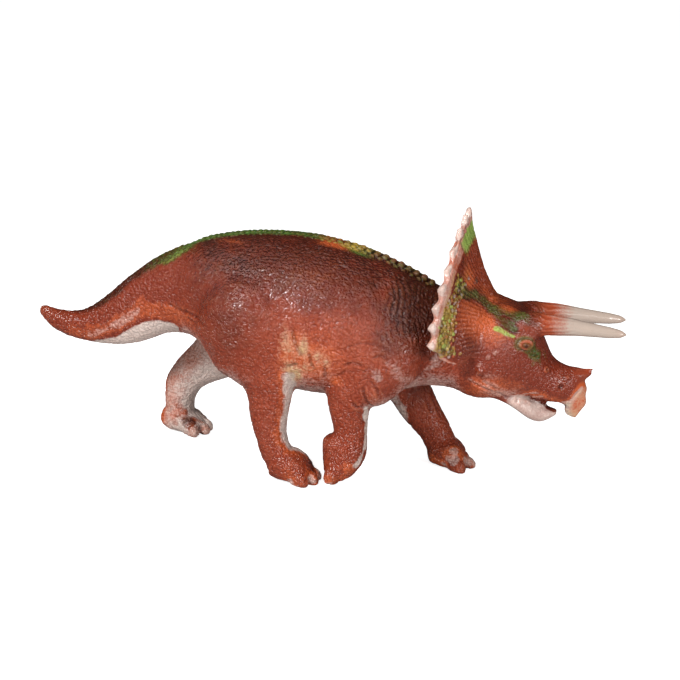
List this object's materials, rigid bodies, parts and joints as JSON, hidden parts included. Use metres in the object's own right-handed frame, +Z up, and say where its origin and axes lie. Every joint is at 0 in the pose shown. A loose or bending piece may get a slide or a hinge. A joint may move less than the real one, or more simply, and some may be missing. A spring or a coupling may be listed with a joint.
{
  "type": "toy dinosaur figure",
  "caption": "Walking horned dinosaur play figure with a wide neck frill, long brow horns, a beaked open mouth, bent legs and an upturned blunt tail.",
  "frame": {"origin": "on the ground under the middle of the figure's bounding box", "axes": "+X towards the head, +Y to the animal's left, +Z up from the ground"},
  "size_m": [0.2416, 0.0728, 0.1147],
  "materials": {
    "hide": "semi-gloss, hand-painted solid PVC",
    "jaw": "semi-gloss, unpainted cream PVC",
    "horn": "semi-gloss cream PVC, orange at the root"
  },
  "bodies": {
    "root": {"torso": "hide", "tail": "hide", "right_hind_leg": "hide", "left_hind_leg": "hide", "left_front_leg": "hide", "right_front_leg": "hide", "head": "hide", "lower_jaw": "jaw", "right_brow_horn": "horn", "left_brow_horn": "horn"}
  },
  "joints": []
}
